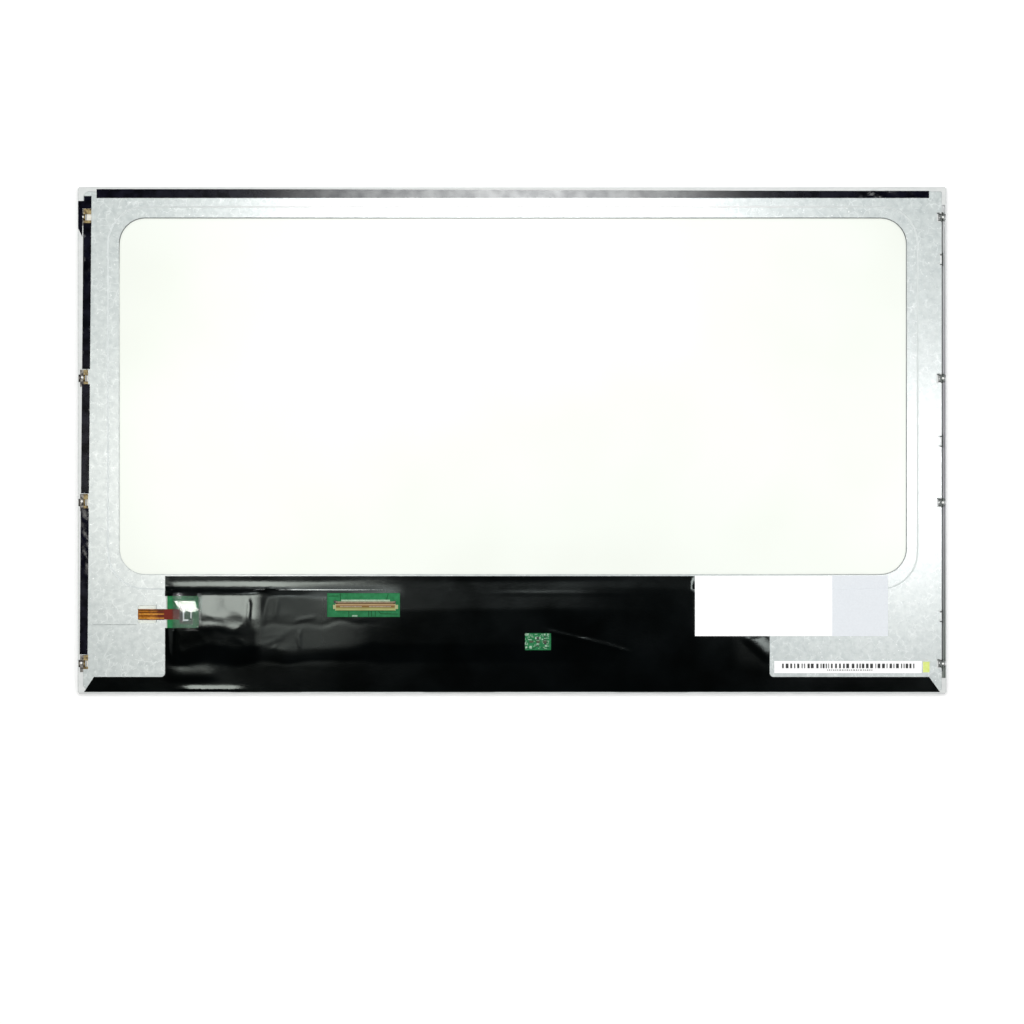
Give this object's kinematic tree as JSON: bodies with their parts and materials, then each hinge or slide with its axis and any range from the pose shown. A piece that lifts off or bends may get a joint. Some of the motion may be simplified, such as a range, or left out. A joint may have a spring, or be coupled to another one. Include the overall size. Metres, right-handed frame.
{
  "type": "laptop screen panel",
  "caption": "Flat laptop screen panel with a folded bezel, pressed back plate, edge backlight, driver board under black film, signal connector and side screw inserts.",
  "frame": {"origin": "middle of the panel's outline, on the bezel's front face, which the panel lies on", "axes": "+X along the long side, to the right as seen from the back; +Y up the picture's height; +Z from the display face to the back"},
  "size_m": [0.3592, 0.2094, 0.0054],
  "materials": {
    "bezel_steel": "thin folded stainless sheet, satin",
    "galvanised_sheet": "galvanised sheet with a fine spangle",
    "rail_steel": "plain steel strip, satin",
    "nut_steel": "turned steel",
    "clip_brass": "brass-plated",
    "frame_white": "white moulded plastic",
    "polariser_dark": "dark polarising film, low gloss",
    "cell_glass": "thin flat display glass",
    "shade_black": "black adhesive tape",
    "optical_film": "translucent optical film",
    "guide_acrylic": "clear light guide",
    "reflector_white": "bright white reflecting film",
    "diode_white": "white packages with yellow lenses",
    "flex_amber": "amber flexible circuit",
    "driver_amber": "amber driver film",
    "board_green": "green solder mask",
    "board_adhesive": "double-sided tape",
    "chip_black": "moulded chip package",
    "ferrite_grey": "ferrite body",
    "capacitor_tan": "ceramic chip capacitor",
    "contact_gold": "gold-plated contacts",
    "shell_gold": "gold-plated shell",
    "housing_beige": "moulded connector plastic",
    "housing_dark": "moulded connector plastic",
    "lock_dark": "moulded connector lock",
    "film_black": "glossy black insulating film",
    "film_clear": "clear adhesive film",
    "tape_black": "black adhesive tape",
    "label_white": "white paper label",
    "mark_lime": "dab of yellow-green paint"
  },
  "bodies": {
    "root": {"front_bezel": "bezel_steel", "front_polariser": "polariser_dark", "colour_filter_glass": "cell_glass", "array_glass": "cell_glass", "rear_polariser": "polariser_dark", "shading_tape": "shade_black", "mould_frame": "frame_white", "upper_diffuser": "optical_film", "upper_prism_sheet": "optical_film", "lower_prism_sheet": "optical_film", "lower_diffuser": "optical_film", "light_guide": "guide_acrylic", "reflector_sheet": "reflector_white", "light_bar_leds": "diode_white", "light_bar_flex": "flex_amber", "back_plate": "galvanised_sheet", "left_screw_inserts": "clip_brass", "right_screw_inserts": "nut_steel", "right_side_rail": "rail_steel", "board_tape": "board_adhesive", "control_board": "board_green", "source_driver_films": "driver_amber", "driver_chips": "chip_black", "signal_contacts": "contact_gold", "signal_housing": "housing_beige", "signal_shell": "shell_gold", "tail_connector": "housing_dark", "tail_connector_lock": "lock_dark", "timing_controller": "chip_black", "power_chips": "chip_black", "power_inductors": "ferrite_grey", "board_capacitors": "capacitor_tan", "board_cover_film": "film_black", "clear_end_film": "film_clear", "top_edge_tape": "tape_black", "corner_tape": "tape_black", "upper_left_tape": "tape_black", "middle_left_tape": "tape_black", "lower_left_tape": "tape_black", "rating_label": "label_white", "bar_label": "label_white", "inspection_mark": "mark_lime"}
  },
  "joints": []
}
